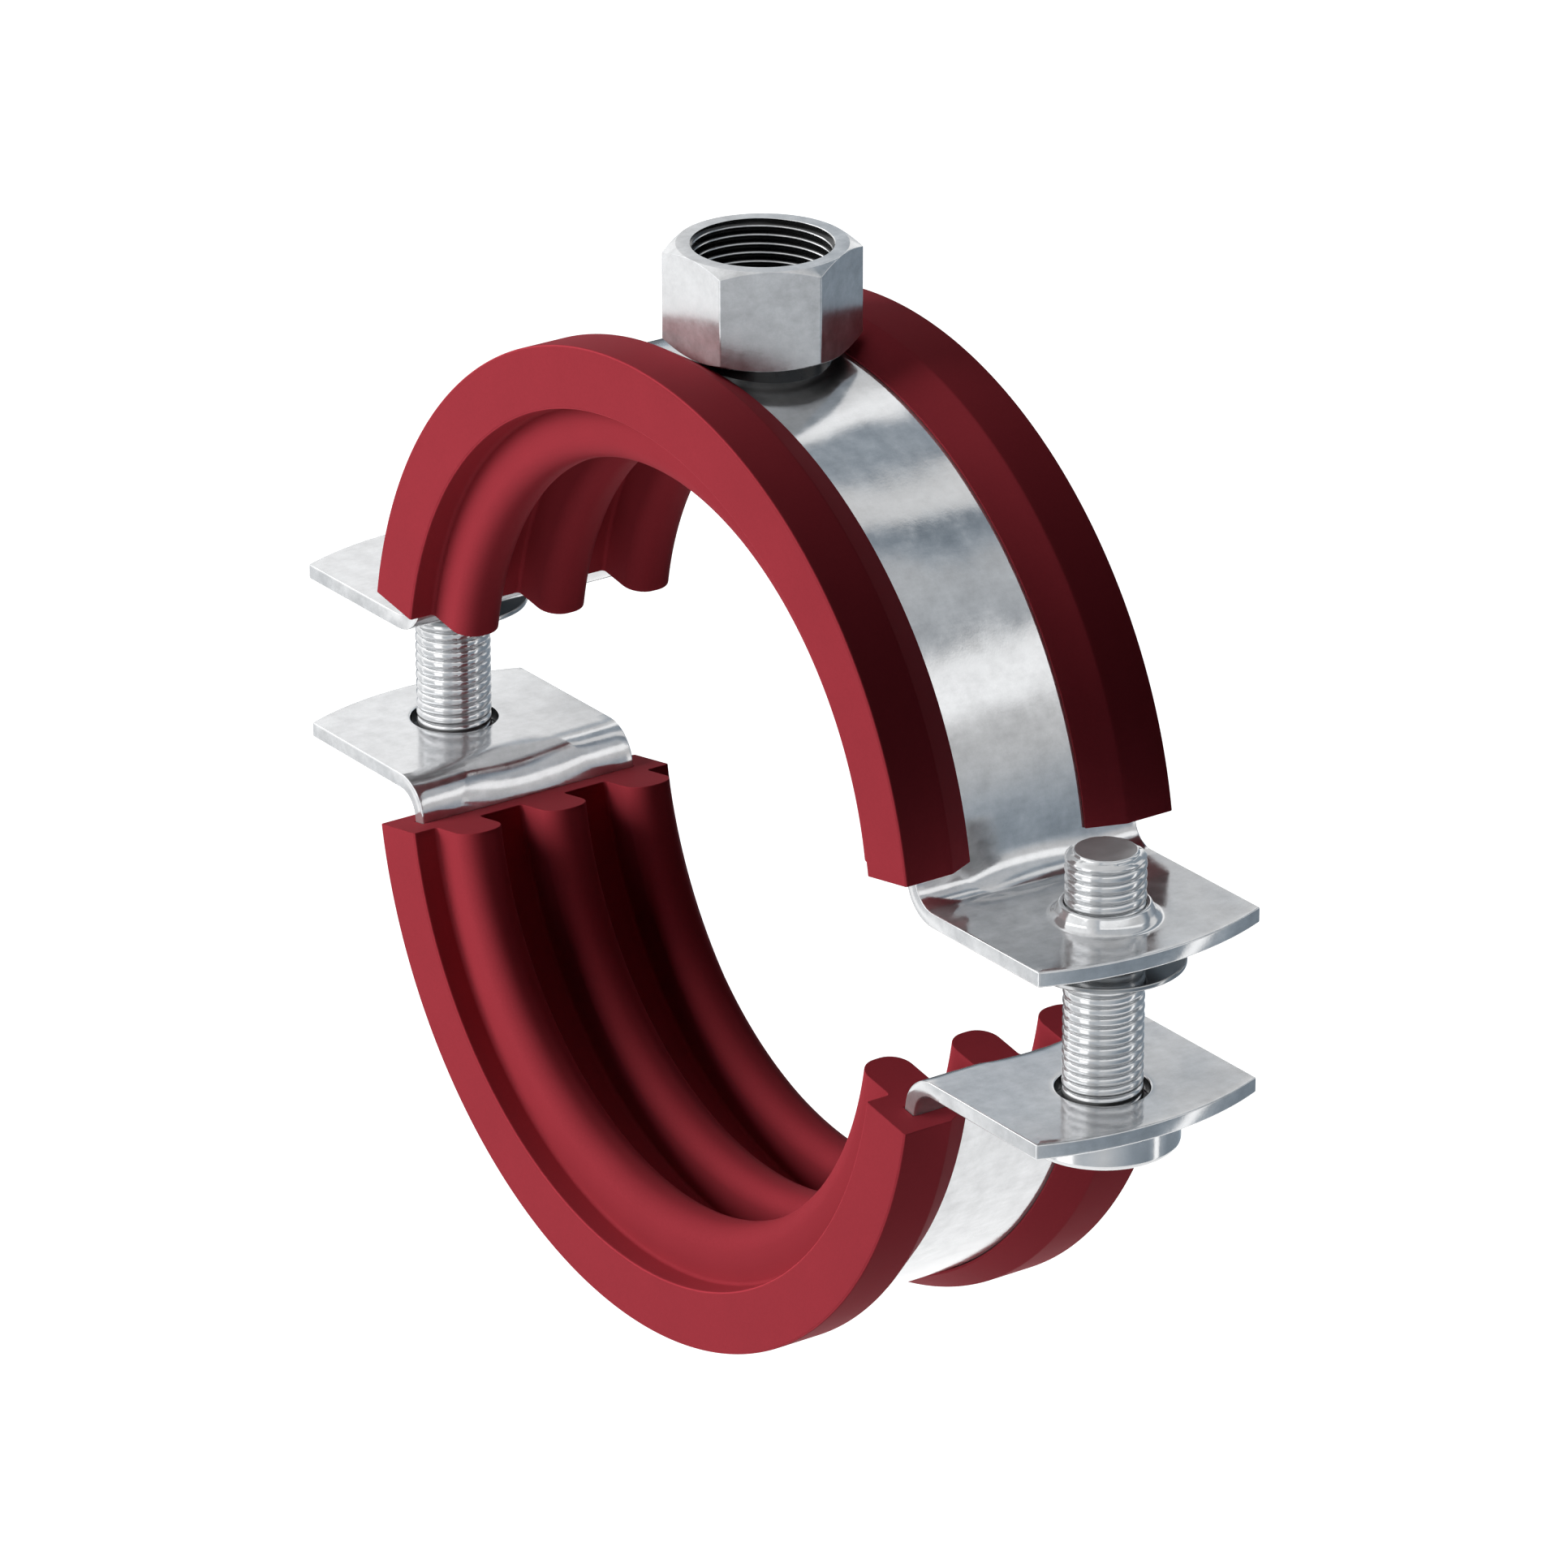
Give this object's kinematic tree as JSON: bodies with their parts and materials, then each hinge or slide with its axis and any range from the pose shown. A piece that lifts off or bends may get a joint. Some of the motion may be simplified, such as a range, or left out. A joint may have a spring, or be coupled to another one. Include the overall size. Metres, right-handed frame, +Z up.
{
  "type": "pipe clamp",
  "caption": "Split steel pipe clamp with ribbed red silicone inserts, a welded connection nut on top and a clamping screw through the lugs on each side.",
  "frame": {"origin": "centre of the upper half's ring, on the axis of the pipe it holds", "axes": "+Z up along the connection nut's thread and out of its mouth, +Y along the pipe, +X across the lugs from the left screw to the right one"},
  "size_m": [0.1002, 0.0242, 0.0856],
  "materials": {
    "band_steel": "zinc-plated, soft sheen",
    "nut_steel": "zinc-plated, satin",
    "screw_steel": "zinc-plated, bright",
    "washer_steel": "zinc-plated, dull",
    "silicone": "matte dark red silicone"
  },
  "bodies": {
    "upper_half": {"upper_band": "band_steel", "upper_insert": "silicone", "connection_nut": "nut_steel"},
    "lower_half": {"lower_band": "band_steel", "lower_insert": "silicone"},
    "left_screw": {"left_screw": "screw_steel"},
    "right_screw": {"right_screw": "screw_steel"},
    "left_washer": {"left_washer": "washer_steel"},
    "right_washer": {"right_washer": "washer_steel"}
  },
  "joints": [
    {"name": "halves_closing", "type": "slide", "parent": "upper_half", "child": "lower_half", "axis": [0, 0, 1], "range_m": [-0.004, 0.0099]},
    {"name": "left_screw_turn", "type": "hinge", "parent": "lower_half", "child": "left_screw", "pos_m": [-0.0427, 0, -0.01115], "axis": [0, 0, 1], "range_deg": [-1921, 4753]},
    {"name": "right_screw_turn", "type": "hinge", "parent": "lower_half", "child": "right_screw", "pos_m": [0.0427, 0, -0.01115], "axis": [0, 0, 1], "range_deg": [-1921, 4753]},
    {"name": "left_washer_slide", "type": "slide", "parent": "upper_half", "child": "left_washer", "axis": [0, 0, 1], "range_m": [0, 0.0019]},
    {"name": "right_washer_slide", "type": "slide", "parent": "upper_half", "child": "right_washer", "axis": [0, 0, 1], "range_m": [0, 0.0019]}
  ],
  "couplings": [
    {"joint": "left_screw_turn", "follows": "halves_closing", "rad_per_m": 8377.6},
    {"joint": "right_screw_turn", "follows": "halves_closing", "rad_per_m": 8377.6}
  ]
}
